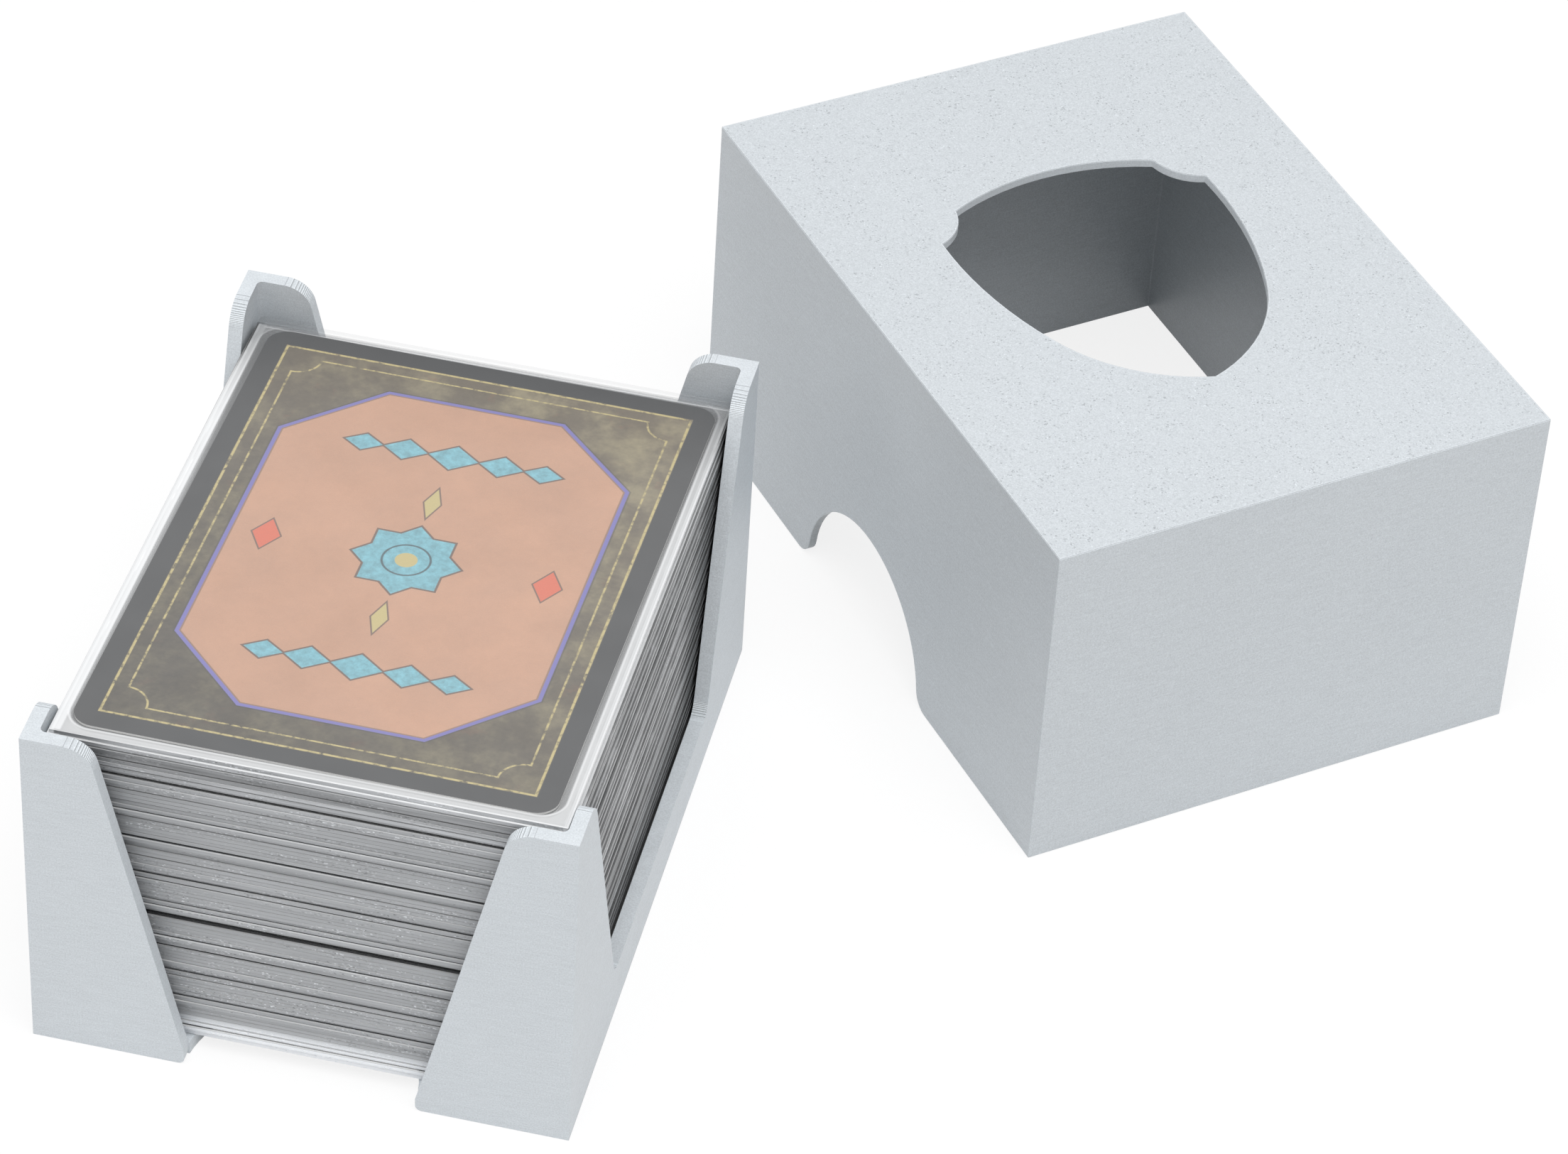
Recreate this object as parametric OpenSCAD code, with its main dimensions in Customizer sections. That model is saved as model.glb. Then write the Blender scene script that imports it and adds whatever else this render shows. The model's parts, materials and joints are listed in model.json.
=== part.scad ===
// Card storage box in two printed parts: an open tray whose four corner posts hold a
// deck of sleeved cards, and a deep cover that slips down over the tray.
// The cover is lifted off and stands beside the tray, turned a little.
// The origin is the middle of the tray's footprint on the table. +X runs across the
// tray, +Y along it towards its far end, and +Z up. Sizes are in millimetres.

/* [Cards] */
// Width of a bare card
card_w = 63; // [56:0.5:70]
// Length of a bare card
card_l = 88; // [80:0.5:96]
// Corner radius of a bare card
card_r = 3; // [1:0.25:5]
// Thickness of a bare card
card_t = 0.31; // [0.25:0.01:0.4]

/* [Sleeves] */
// Thickness of one ply of sleeve film
film_t = 0.12; // [0.08:0.01:0.15]
// Room between a card's face and the film
card_slack = 0.02; // [0.01:0.01:0.05]
// How far a sleeve stands past its card at each side
sleeve_side = 2; // [1.2:0.1:3]
// How far a sleeve stands past its card at each end
sleeve_end = 2; // [1.2:0.1:3]
// Width of the welded seam along a sleeve's sides and closed end
weld_w = 0.5; // [0.3:0.1:0.8]

/* [Deck] */
// Sleeved cards in each bundle
bundle_count = 3; // [1:1:4]
// Bundles below the deck's wide gap
lower_bundles = 11; // [6:1:12]
// Bundles above the wide gap, without the top card
upper_bundles = 14; // [10:1:15]
// Air between neighbouring sleeves at their closed ends
air_closed = 0.02; // [0.01:0.01:0.04]
// Air between neighbouring sleeves at their open ends
air_open = 0.03; // [0.02:0.01:0.1]
// Height of the deck's wide gap at the open ends
pack_gap = 1; // [0.2:0.1:2]
// Height of each small gap at the open ends
small_gap = 0.2; // [0.05:0.05:0.4]
// Sleeves that lie over a small gap, counted from the lowest
small_gaps = [17, 25, 42, 48, 53, 58, 62, 65, 68, 70, 72, 74]; // [1:1:80]
// Most that a sleeve lies out of line sideways
side_jog = 0.2; // [0:0.05:0.3]
// Most that a sleeve lies out of line endways
end_jog = 0.4; // [0:0.1:0.8]
// How far the top card has turned in its sleeve, in degrees
top_card_turn = -0.4; // [-0.8:0.1:0.8]

/* [Tray] */
// Wall thickness of the posts and rims
wall_t = 2; // [1.6:0.1:3]
// Thickness of the floor plate
floor_t = 2; // [1.2:0.2:3]
// Room between a sleeve and the wall at each side
side_play = 0.5; // [0.4:0.1:1.5]
// Room between a sleeve and the wall at each end
end_play = 1.5; // [1:0.1:3]
// Height of the posts above the deck
headroom = 1.1; // [0.5:0.1:5]
// Height of the long sides' rims above the table
rim_h = 8; // [5:0.5:14]
// Distance between the posts at the rim, along each long side
side_gap_l = 52.4; // [40:0.4:56]
// Lean of the posts' edges on the long sides, in degrees
side_lean = 18.6; // [12:0.2:20]
// Lean of the posts' edges at the ends, in degrees
end_lean = 13.1; // [8:0.1:14]
// Radius of the posts' round shoulders
shoulder_r = 4; // [1:0.5:5]
// Radius of the fillets between the rims and the posts
rim_fillet = 2.5; // [1:0.5:4]
// Radius of the finger arch in the floor at each end
floor_arch_r = 15.5; // [12:0.5:18]
// Radius of the rounded foot at each side of a floor arch
tray_foot_r = 0.9; // [0.4:0.1:1.5]
// Radius of the upright inside corners
inner_corner_r = 0.8; // [0.3:0.1:1]

/* [Cover] */
// Wall thickness of the cover
cover_wall = 1.3; // [1:0.1:2.4]
// Thickness of the cover's top plate
cover_top = 1.3; // [1:0.1:2.4]
// Room between the tray and the cover at each side
slip_gap = 0.35; // [0.2:0.05:0.8]
// Room between the posts and the top plate
top_gap = 0.2; // [0:0.1:1]
// Radius of the finger arch in each long wall
cover_arch_r = 17.2; // [12:0.2:20]
// Radius of the rounded foot at each side of a wall arch
cover_foot_r = 3; // [1:0.5:5]

/* [Shield window] */
// Width of the window at its widest
shield_w = 42; // [30:1:48]
// Height of the widest level above the plate's middle
shield_level = 12; // [9:0.5:13]
// Radius of the upper stretch of each side
shield_side_r = 58.6; // [50:0.2:70]
// Angle over which the upper stretch runs down, in degrees
shield_side_turn = 22.3; // [18:0.1:26]
// Radius of the lower stretch of each side
shield_tip_r = 26.4; // [24:0.2:30]
// Height of the crown of the top edge above the plate's middle
shield_crown = 24.3; // [22:0.1:26]
// Radius of the top edge
shield_crown_r = 37.5; // [30:0.5:50]
// Radius of the scoop in each upper corner
scoop_r = 7.8; // [6:0.2:8.4]
// Place of each scoop's middle outside the window's widest edge
scoop_out = 2.4; // [1:0.1:3]
// Height of each scoop's middle above the widest level
scoop_up = 10.2; // [9:0.1:11]

/* [Cover beside the tray] */
// Distance from the tray's side to the cover's middle, along X
stand_off_x = 44.6; // [44:0.1:60]
// Distance from the tray's far end to the cover's middle, along Y
stand_off_y = 32.4; // [32:0.1:60]
// Angle that the cover is turned, in degrees
cover_turn = 38.7; // [30:0.1:50]

/* [Hidden] */
$fn = 96;
// Extra length of a cut past the face that it opens
cut = 1;
// Overlap of arcs and edges that meet smoothly
lap = 0.001;

sleeve_w = card_w + 2 * sleeve_side;
sleeve_l = card_l + 2 * sleeve_end;
pocket_t = card_t + card_slack;
sleeve_t = pocket_t + 2 * film_t;

lower_count = lower_bundles * bundle_count;
deck_count = lower_count + upper_bundles * bundle_count + 1;
step_closed = sleeve_t + air_closed;
step_open = sleeve_t + air_open;

room_w = sleeve_w + 2 * side_play;
room_l = sleeve_l + 2 * end_play;
tray_w = room_w + 2 * wall_t;
tray_l = room_l + 2 * wall_t;
tray_h = open_height(deck_count - 1) + step_open / 2 + headroom;

cover_w = tray_w + 2 * (slip_gap + cover_wall);
cover_l = tray_l + 2 * (slip_gap + cover_wall);
cover_h = tray_h + top_gap + cover_top;
cover_x = tray_w / 2 + stand_off_x;
cover_y = tray_l / 2 + stand_off_y;

tray_grey = [0.78, 0.81, 0.83];
cover_grey = [0.74, 0.77, 0.79];
film_grey = [0.86, 0.88, 0.9];
card_dark = [0.28, 0.28, 0.29];
card_brown = [0.55, 0.42, 0.3];

function two_digits(n) = n < 10 ? str("0", n) : str(n);

lower_names = [for (b = [1 : lower_bundles]) two_digits(b)];
upper_names = [for (b = [1 : upper_bundles]) two_digits(b)];

// Middle height of sleeve i at its open and its closed end; sleeve 0 is the lowest
function open_height(i) =
    floor_t + (i + 0.5) * step_open
    + (i < lower_count ? 0 : pack_gap)
    + small_gap * len([for (s = small_gaps) if (s <= i) s]);
function closed_height(i) = floor_t + (i + 0.5) * step_closed;

// Puts a flat piece in the place of sleeve i. Each sleeve tips towards its closed end.
// Most lie nearly in line with the next, and a few stand out at an end.
module in_deck(i) {
    tilt = asin((open_height(i) - closed_height(i)) / sleeve_l);
    translate([0, 0, (open_height(i) + closed_height(i)) / 2])
        rotate([-tilt, 0, 0])
            translate([side_jog * sin(i * 137 + 200), end_jog * pow(sin(i * 101 + 66), 15), 0])
                children();
}

module rounded_rectangle(w, l, r) {
    square([w, l - 2 * r], center = true);
    square([w - 2 * r, l], center = true);
    for (x = [-1, 1], y = [-1, 1])
        translate([x * (w / 2 - r), y * (l / 2 - r)])
            circle(r = r);
}

// A bare card, flat about its middle
module playing_card() {
    translate([0, 0, -card_t / 2])
        linear_extrude(card_t)
            rounded_rectangle(card_w, card_l, card_r);
}

// Cross-section of a flat tube: full height over the card, pinched to its seams
module pinched_section(w, full_w, h, seam_h, seam_w) {
    x = [w / 2, w / 2 - seam_w, full_w / 2];
    polygon([
        [-x[0], -seam_h / 2], [-x[1], -seam_h / 2], [-x[2], -h / 2],
        [x[2], -h / 2], [x[1], -seam_h / 2], [x[0], -seam_h / 2],
        [x[0], seam_h / 2], [x[1], seam_h / 2], [x[2], h / 2],
        [-x[2], h / 2], [-x[1], seam_h / 2], [-x[0], seam_h / 2]
    ]);
}

// Cross-section of the room inside a sleeve, which ends in a point at each seam
module pocket_section() {
    seam = sleeve_w / 2 - weld_w;
    flat = card_w / 2 + sleeve_side / 4;
    polygon([
        [-seam, 0], [-flat, -pocket_t / 2], [flat, -pocket_t / 2],
        [seam, 0], [flat, pocket_t / 2], [-flat, pocket_t / 2]
    ]);
}

// A clear sleeve, open towards -Y and welded along its sides and its far end
module sleeve() {
    difference() {
        rotate([90, 0, 0])
            linear_extrude(sleeve_l, center = true)
                pinched_section(sleeve_w, card_w + sleeve_side / 2, sleeve_t, 2 * film_t, weld_w);
        translate([0, sleeve_l / 2 - weld_w, 0])
            rotate([90, 0, 0])
                linear_extrude(sleeve_l - weld_w + cut)
                    pocket_section();
    }
}

module sleeve_bundle(first) {
    color(film_grey)
        for (i = [first : first + bundle_count - 1])
            in_deck(i)
                sleeve();
}

module card_bundle(first) {
    color(card_dark)
        for (i = [first : first + bundle_count - 1])
            in_deck(i)
                playing_card();
}

module top_sleeve() {
    color(film_grey)
        in_deck(deck_count - 1)
            sleeve();
}

module top_card() {
    color(card_brown)
        in_deck(deck_count - 1)
            rotate([0, 0, top_card_turn])
                playing_card();
}

// Outline of the gap between two posts, in the plane of their wall. It is foot_half
// wide to each side at height foot_z, leans out and opens past round shoulders.
module post_gap(foot_half, foot_z, lean, fillet) {
    ease = (1 - sin(lean)) / cos(lean);
    shoulder_x = foot_half + (tray_h - foot_z) * tan(lean) + shoulder_r * ease;
    shoulder_z = tray_h - shoulder_r;
    shoulder_reach = shoulder_r - lap;
    fillet_x = foot_half - fillet * ease;
    fillet_z = foot_z + fillet;
    fillet_reach = fillet - lap;
    foot = fillet == 0 ? [[foot_half, foot_z]] : [
        [fillet_x, foot_z],
        [fillet_x, fillet_z],
        [fillet_x + fillet_reach * cos(lean), fillet_z - fillet_reach * sin(lean)]
    ];
    right = concat(foot, [
        [shoulder_x - shoulder_reach * cos(lean), shoulder_z + shoulder_reach * sin(lean)],
        [shoulder_x, shoulder_z],
        [shoulder_x, tray_h + cut]
    ]);
    left = [for (k = [len(right) - 1 : -1 : 0]) [-right[k][0], right[k][1]]];
    difference() {
        polygon(concat(right, left));
        for (side = [-1, 1])
            translate([side * shoulder_x, shoulder_z])
                circle(r = shoulder_r);
    }
    if (fillet > 0)
        for (side = [-1, 1])
            translate([side * fillet_x, fillet_z])
                circle(r = fillet);
}

// The rounded feet of a notch that is half_w wide to each side where it leaves y = 0
module notch_feet(foot_x, foot_r, half_w) {
    for (side = [-1, 1])
        difference() {
            polygon([
                [side * half_w, -cut], [side * foot_x, -cut],
                [side * foot_x, foot_r], [side * half_w, foot_r]
            ]);
            translate([side * foot_x, foot_r])
                circle(r = foot_r);
        }
}

// Outline of the opening at an end of the tray, from under the table plane to past the
// posts. Its floor-thick foot is as wide as the arch in the floor.
module end_opening() {
    post_gap(floor_arch_r, floor_t, end_lean, 0);
    translate([-floor_arch_r, -cut])
        square([2 * floor_arch_r, floor_t + cut]);
    notch_feet(floor_arch_r + tray_foot_r, tray_foot_r, floor_arch_r - cut);
}

// The open tray: floor, four corner posts and two low rims in one piece
module tray() {
    color(tray_grey)
        difference() {
            translate([-tray_w / 2, -tray_l / 2, 0])
                cube([tray_w, tray_l, tray_h]);
            translate([0, 0, floor_t])
                linear_extrude(tray_h)
                    rounded_rectangle(room_w, room_l, inner_corner_r);
            for (turn = [0, 180])
                rotate([0, 0, turn]) {
                    translate([0, -room_l / 2, 0])
                        rotate([90, 0, 0])
                            linear_extrude(wall_t + cut)
                                end_opening();
                    translate([0, -tray_l / 2, -cut])
                        cylinder(r = floor_arch_r, h = floor_t + 2 * cut);
                }
            rotate([90, 0, 90])
                linear_extrude(tray_w + 2 * cut, center = true)
                    post_gap(side_gap_l / 2, rim_h, side_lean, rim_fillet);
        }
}

// Half-round notch on the line y = 0, with feet that run out in arcs
module arch_notch(r, foot_r) {
    foot_x = sqrt(r * (r + 2 * foot_r)) - lap;
    circle(r = r);
    for (side = [-1, 1])
        difference() {
            polygon([[0, -cut], [side * foot_x, -cut], [side * foot_x, foot_r], [0, 0]]);
            translate([side * foot_x, foot_r])
                circle(r = foot_r);
        }
}

// Both sides of the shield, each a long arc that runs smoothly into a tighter one
module shield_sides() {
    side_x = shield_w / 2 - shield_side_r;
    change = shield_side_r - shield_tip_r;
    tip_x = side_x + change * cos(shield_side_turn) + lap;
    tip_y = shield_level - change * sin(shield_side_turn);
    joint_y = shield_level - shield_side_r * sin(shield_side_turn);
    intersection() {
        translate([side_x, shield_level])
            circle(r = shield_side_r);
        translate([-side_x, shield_level])
            circle(r = shield_side_r);
        translate([-shield_w, joint_y])
            square([2 * shield_w, 2 * shield_crown]);
    }
    intersection() {
        translate([tip_x, tip_y])
            circle(r = shield_tip_r);
        translate([-tip_x, tip_y])
            circle(r = shield_tip_r);
    }
}

// Outline of the shield-shaped window, point towards -Y
module shield() {
    difference() {
        intersection() {
            shield_sides();
            translate([0, shield_crown - shield_crown_r])
                circle(r = shield_crown_r);
        }
        for (side = [-1, 1])
            translate([side * (shield_w / 2 + scoop_out), shield_level + scoop_up])
                circle(r = scoop_r);
    }
}

// The deep cover, open below, with a finger arch in each long wall and a window on top
module cover() {
    color(cover_grey)
        translate([cover_x, cover_y, 0])
            rotate([0, 0, cover_turn])
                difference() {
                    translate([-cover_w / 2, -cover_l / 2, 0])
                        cube([cover_w, cover_l, cover_h]);
                    translate([cover_wall - cover_w / 2, cover_wall - cover_l / 2, -cut])
                        cube([
                            cover_w - 2 * cover_wall,
                            cover_l - 2 * cover_wall,
                            cover_h - cover_top + cut
                        ]);
                    rotate([90, 0, 90])
                        linear_extrude(cover_w + 2 * cut, center = true)
                            arch_notch(cover_arch_r, cover_foot_r);
                    translate([0, 0, cover_h - cover_top - cut])
                        linear_extrude(cover_top + 2 * cut)
                            shield();
                }
}

tray();
cover();
for (b = [1 : lower_bundles]) {
    first = (b - 1) * bundle_count;
    sleeve_bundle(first);
    card_bundle(first);
}
for (b = [1 : upper_bundles]) {
    first = lower_count + (b - 1) * bundle_count;
    sleeve_bundle(first);
    card_bundle(first);
}
top_sleeve();
top_card();
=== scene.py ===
import json
import math
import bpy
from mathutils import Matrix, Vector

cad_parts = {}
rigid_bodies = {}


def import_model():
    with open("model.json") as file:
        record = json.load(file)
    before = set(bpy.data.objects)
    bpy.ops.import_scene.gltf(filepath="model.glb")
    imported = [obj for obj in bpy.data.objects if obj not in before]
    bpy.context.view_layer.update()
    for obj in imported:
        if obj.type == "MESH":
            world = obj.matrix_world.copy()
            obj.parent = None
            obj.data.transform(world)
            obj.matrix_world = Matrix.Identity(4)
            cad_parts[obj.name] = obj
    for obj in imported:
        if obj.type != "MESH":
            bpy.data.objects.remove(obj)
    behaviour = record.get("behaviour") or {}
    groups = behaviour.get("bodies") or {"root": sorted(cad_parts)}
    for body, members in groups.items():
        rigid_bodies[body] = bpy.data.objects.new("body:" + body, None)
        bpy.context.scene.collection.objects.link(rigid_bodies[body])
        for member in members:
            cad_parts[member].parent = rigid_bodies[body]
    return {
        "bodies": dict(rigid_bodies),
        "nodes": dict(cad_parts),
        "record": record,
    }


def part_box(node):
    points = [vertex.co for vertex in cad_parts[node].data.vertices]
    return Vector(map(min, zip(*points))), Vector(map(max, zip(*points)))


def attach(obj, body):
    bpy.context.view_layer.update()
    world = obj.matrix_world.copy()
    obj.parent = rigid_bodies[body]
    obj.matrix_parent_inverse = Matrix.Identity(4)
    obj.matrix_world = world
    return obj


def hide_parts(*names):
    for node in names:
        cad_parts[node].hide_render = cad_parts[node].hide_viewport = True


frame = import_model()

from types import SimpleNamespace

import bmesh
import bpy
from mathutils import Matrix, Vector, noise as waves

bl_info = {
    "name": "Card storage box",
    "version": (1, 0, 0),
    "blender": (4, 5, 0),
    "location": "View3D > Sidebar > Card Box",
    "description": "Dresses the packed card storage box and sets up its studio",
    "category": "Object",
}

MM = 0.001

TRAY = frame["nodes"]["tray"]
COVER = frame["nodes"]["cover"]
TOP_CARD = frame["nodes"]["top_card"]
SLEEVES = [n for n in sorted(frame["nodes"]) if "sleeve" in n]
CARDS = [n for n in sorted(frame["nodes"]) if "_cards_" in n]
# The last bundle of each pack, whose upper card shows once what lies on it is lifted
PACK_TOPS = [max(n for n in CARDS if n.startswith(pack)) for pack in ("lower", "upper")]


def middle(node):
    """Centre of a CAD node's box, in metres."""
    low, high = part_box(node)
    return (low + high) / 2


def half_size(node):
    """Half the width, length and height of a CAD node's box, in millimetres."""
    low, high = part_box(node)
    return [side / MM for side in (high - low) / 2]


# Settings

def colour(name, description, default):
    """A linear colour that the panel shows."""
    return bpy.props.FloatVectorProperty(
        name=name, description=description, default=default,
        subtype="COLOR", size=3, min=0.0, max=1.0)


def length(name, description, default):
    """A length in metres that the panel shows in the scene's unit."""
    return bpy.props.FloatProperty(
        name=name, description=description, default=default,
        unit="LENGTH", precision=5, min=0.0)


def share(name, description, default):
    """A share from nothing to all."""
    return bpy.props.FloatProperty(
        name=name, description=description, default=default,
        subtype="FACTOR", min=0.0, max=1.0)


def number(name, description, default):
    """A plain number."""
    return bpy.props.FloatProperty(name=name, description=description, default=default)


def angle(name, description, default):
    """An angle, given here in degrees."""
    return bpy.props.FloatProperty(
        name=name, description=description, default=math.radians(default),
        subtype="ANGLE", unit="ROTATION")


class PrintSettings(bpy.types.PropertyGroup):
    """Finish of the tray and the cover"""

    plastic: colour("Plastic", "Silver grey of both prints", (0.655, 0.695, 0.728))
    layer: length("Layer", "Height of one printed layer", 0.2 * MM)
    grain: length("Grain", "Size of the plastic's grain", 0.22 * MM)
    speck: length("Speck", "Size of the specks left by the textured print plate", 0.2 * MM)
    edge: length("Edge", "Width of the outer printed line round the plate face", 0.2 * MM)
    bevel: length("Bevel", "Softening of every sharp edge", 0.12 * MM)
    # Painted highlight: brightness of the softened edges that look up and of the outer line
    # round the plate face
    edge_highlight: number("Edge light", "Brightness of worn edges and outer lines", 1.16)
    roughness: share("Roughness", "Roughness of the plastic", 0.46)


class DeckSettings(bpy.types.PropertyGroup):
    """Sleeves and cards"""

    film: colour("Film", "Film of the top sleeves, beside the card", (0.86, 0.87, 0.88))
    # Painted shade: the same film, darker where other sleeves lie over it
    film_shaded: colour("Film in the deck", "Film with others over it", (0.36, 0.37, 0.38))
    film_rim: colour(
        "Film rim", "Cut edges of the film, as they lie in the deck", (0.44, 0.452, 0.468))
    film_haze: share("Film haze", "Opacity of one film over a card", 0.15)
    film_lip: share("Film lip", "Opacity of the top sleeves' film beside the card", 0.55)
    film_roughness: share("Film roughness", "Roughness of the film", 0.22)
    film_round: length("Film rounding", "Rounding of a sleeve's edges", 0.035 * MM)
    film_wave: length("Film wave", "How unevenly the sleeves' edges lie", 0.045 * MM)
    film_bead: length("Film bead", "Width of the bright seam line at a sleeve's edge", 0.22 * MM)
    # Painted light on the lowest sleeves' rims, standing in for light from the table
    painted_foot_glow: share("Foot glow", "How much the table lights the lowest sleeves", 1.0)
    core: colour("Card core", "Cut edge of the card stock", (0.86, 0.85, 0.83))
    border: colour("Border", "Border of the card backs", (0.030, 0.031, 0.033))
    field: colour("Field", "Mottled field inside the border", (0.115, 0.092, 0.060))
    field_light: colour("Light field", "Lighter clouds of the field", (0.235, 0.200, 0.120))
    rust: colour("Rust", "Reddish patches in the field", (0.24, 0.10, 0.055))
    gold: colour("Gold", "Thin framing lines", (0.60, 0.50, 0.22))
    tan: colour("Tan", "Large panel in the middle", (0.60, 0.34, 0.22))
    violet: colour("Violet", "Outline of the panel", (0.20, 0.18, 0.50))
    teal: colour("Teal", "Star and lozenges", (0.20, 0.48, 0.56))
    coral: colour("Coral", "Diamonds", (0.74, 0.17, 0.09))
    border_width: length("Border width", "Width of the card backs' border", 3.2 * MM)


class StudioSettings(bpy.types.PropertyGroup):
    """Camera and light"""

    azimuth: angle("Azimuth", "Camera's turn to the right of the tray's near end", 10.262)
    elevation: angle("Elevation", "Camera's height above the horizon", 40.702)
    roll: angle("Roll", "Camera's tilt to the side", 3.761)
    distance: length("Distance", "Camera's distance from the point it looks at", 830.7 * MM)
    target: bpy.props.FloatVectorProperty(
        name="Target", description="Point that the camera looks at",
        default=(38.24 * MM, 66.46 * MM, 0.0), subtype="XYZ", unit="LENGTH", size=3)
    lens: number("Lens", "Focal length in millimetres on a 36 mm wide sensor", 132.91)
    sky: number("Sky", "Brightness of the surroundings", 0.38)
    key: number("Key lamp", "Power of the large soft lamp, in watts", 16.5)
    fill: number("Fill lamp", "Power of the weaker lamp on the other side, in watts", 2.0)


# Materials' nodes

# Places of the two colours and of the result on a Mix node that is set to colours
MIX_UNDER, MIX_OVER, MIX_RESULT = 6, 7, 2


class Flow:
    """A number that runs through a material's nodes, on which arithmetic adds nodes."""

    def __init__(self, tree, socket):
        self.tree = tree
        self.socket = socket

    def math(self, operation, *others):
        """Adds a node of arithmetic that takes this and the others."""
        node = self.tree.nodes.new("ShaderNodeMath")
        node.operation = operation
        for socket, value in zip(node.inputs, (self, *others)):
            feed(self.tree, socket, value)
        return Flow(self.tree, node.outputs[0])

    def __add__(self, other):
        return self.math("ADD", other)

    def __sub__(self, other):
        return self.math("SUBTRACT", other)

    def __mul__(self, other):
        return self.math("MULTIPLY", other)

    def __truediv__(self, other):
        return self.math("DIVIDE", other)

    def __neg__(self):
        return self.math("MULTIPLY", -1.0)

    def __abs__(self):
        return self.math("ABSOLUTE")

    def least(self, other):
        """The smaller of the two."""
        return self.math("MINIMUM", other)

    def most(self, other):
        """The larger of the two."""
        return self.math("MAXIMUM", other)

    def less(self, part=1.0):
        """What is left of 1 when this, or a part of it, is taken off."""
        return self * -part + 1.0

    def swing(self, amount):
        """A pattern from 0 to 1 as a change up and down around 0."""
        return (self - 0.5) * amount

    def rise(self, start, end):
        """Runs smoothly from 0 at start to 1 at end."""
        node = self.tree.nodes.new("ShaderNodeMapRange")
        node.interpolation_type = "SMOOTHSTEP"
        for socket, value in zip(node.inputs, (self, start, end, 0.0, 1.0)):
            feed(self.tree, socket, value)
        return Flow(self.tree, node.outputs[0])


def feed(tree, socket, value):
    """Links a flow or a socket to a socket, or sets the socket to a plain value."""
    if isinstance(value, Flow):
        value = value.socket
    if isinstance(value, bpy.types.NodeSocket):
        tree.links.new(value, socket)
    elif socket.type == "RGBA":
        socket.default_value = (*value, 1.0)
    else:
        socket.default_value = value


def shade(tree, kind, settings=(), **inputs):
    """Adds a node; an input's name is written with _ for its spaces."""
    node = tree.nodes.new(kind)
    for key, value in dict(settings).items():
        setattr(node, key, value)
    for key, value in inputs.items():
        feed(tree, node.inputs[key.replace("_", " ")], value)
    return node


def new_material(name):
    """An empty material and its node tree."""
    material = bpy.data.materials.new(name)
    material.use_nodes = True
    material.node_tree.nodes.clear()
    return material, material.node_tree


def millimetres(tree, centre=(0.0, 0.0, 0.0), turn=0.0):
    """The object's coordinates in millimetres about a centre: the vector and its three parts."""
    back = Matrix.Rotation(-turn, 3, "Z")
    source = shade(tree, "ShaderNodeTexCoord")
    mapped = shade(
        tree, "ShaderNodeMapping", Vector=source.outputs["Object"],
        Location=-(back @ Vector(centre)) / MM, Rotation=(0.0, 0.0, -turn),
        Scale=(1 / MM,) * 3)
    parts = shade(tree, "ShaderNodeSeparateXYZ", Vector=mapped.outputs[0])
    return mapped.outputs[0], *(Flow(tree, part) for part in parts.outputs)


def facing(tree):
    """How far the surface faces up, from -1 to 1."""
    source = shade(tree, "ShaderNodeTexCoord")
    parts = shade(tree, "ShaderNodeSeparateXYZ", Vector=source.outputs["Normal"])
    return Flow(tree, parts.outputs["Z"])


def upright(tree):
    """1 where the surface stands upright and 0 where it lies flat."""
    return (-abs(facing(tree))).rise(-0.6, -0.3)


def outward(tree, centre):
    """How far a surface looks away from a centre, in millimetres: below 0 inside a piece."""
    node = shade(tree, "ShaderNodeVectorMath", {"operation": "DOT_PRODUCT"})
    feed(tree, node.inputs[0], millimetres(tree, centre)[0])
    feed(tree, node.inputs[1], shade(tree, "ShaderNodeTexCoord").outputs["Normal"])
    return Flow(tree, node.outputs["Value"])


def layered(tree, vector, level):
    """The vector with its level parts scaled, for a pattern that lies in long thin layers."""
    node = shade(tree, "ShaderNodeVectorMath", {"operation": "MULTIPLY"})
    feed(tree, node.inputs[0], vector)
    node.inputs[1].default_value = (level, level, 1.0)
    return node.outputs[0]


def noise(tree, vector, size, detail=2.0, roughness=0.5):
    """Soft noise from 0 to 1 with features of a size in millimetres."""
    node = shade(
        tree, "ShaderNodeTexNoise", Vector=vector, Scale=1 / size,
        Detail=detail, Roughness=roughness)
    return Flow(tree, node.outputs["Fac"])


def cells(tree, vector, size):
    """A random number from 0 to 1 for each small cell of a size in millimetres."""
    node = shade(tree, "ShaderNodeTexVoronoi", Vector=vector, Scale=1 / size)
    parts = shade(tree, "ShaderNodeSeparateColor", Color=node.outputs["Color"])
    return Flow(tree, parts.outputs[0])


def hypot(x, y):
    """Distance from a middle, as math.hypot gives it for plain numbers."""
    return (x * x + y * y).math("SQRT")


def paint(tree, under, over, share_over):
    """Colour over another, by a flow that is 0 where the lower one shows."""
    node = shade(tree, "ShaderNodeMix", {"data_type": "RGBA"})
    feed(tree, node.inputs[0], share_over)
    feed(tree, node.inputs[MIX_UNDER], under)
    feed(tree, node.inputs[MIX_OVER], over)
    return node.outputs[MIX_RESULT]


def shaded(tree, base, brightness):
    """A colour made lighter or darker by a flow around 1."""
    node = shade(tree, "ShaderNodeVectorMath", {"operation": "SCALE"})
    feed(tree, node.inputs[0], base)
    feed(tree, node.inputs["Scale"], brightness)
    return node.outputs[0]


def surface(tree, **inputs):
    """Ends a material in one shader."""
    shader = shade(tree, "ShaderNodeBsdfPrincipled", **inputs)
    shade(tree, "ShaderNodeOutputMaterial", Surface=shader.outputs[0])


def bump(tree, height, depth):
    """Normal of a surface raised by a flow, times a depth in millimetres."""
    node = shade(tree, "ShaderNodeBump", Height=height, Distance=depth * MM)
    return node.outputs[0]


# Printed plastic

# Height of the plate face of a material that has none, below everything
NO_PLATE = -1.0 * MM


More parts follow.
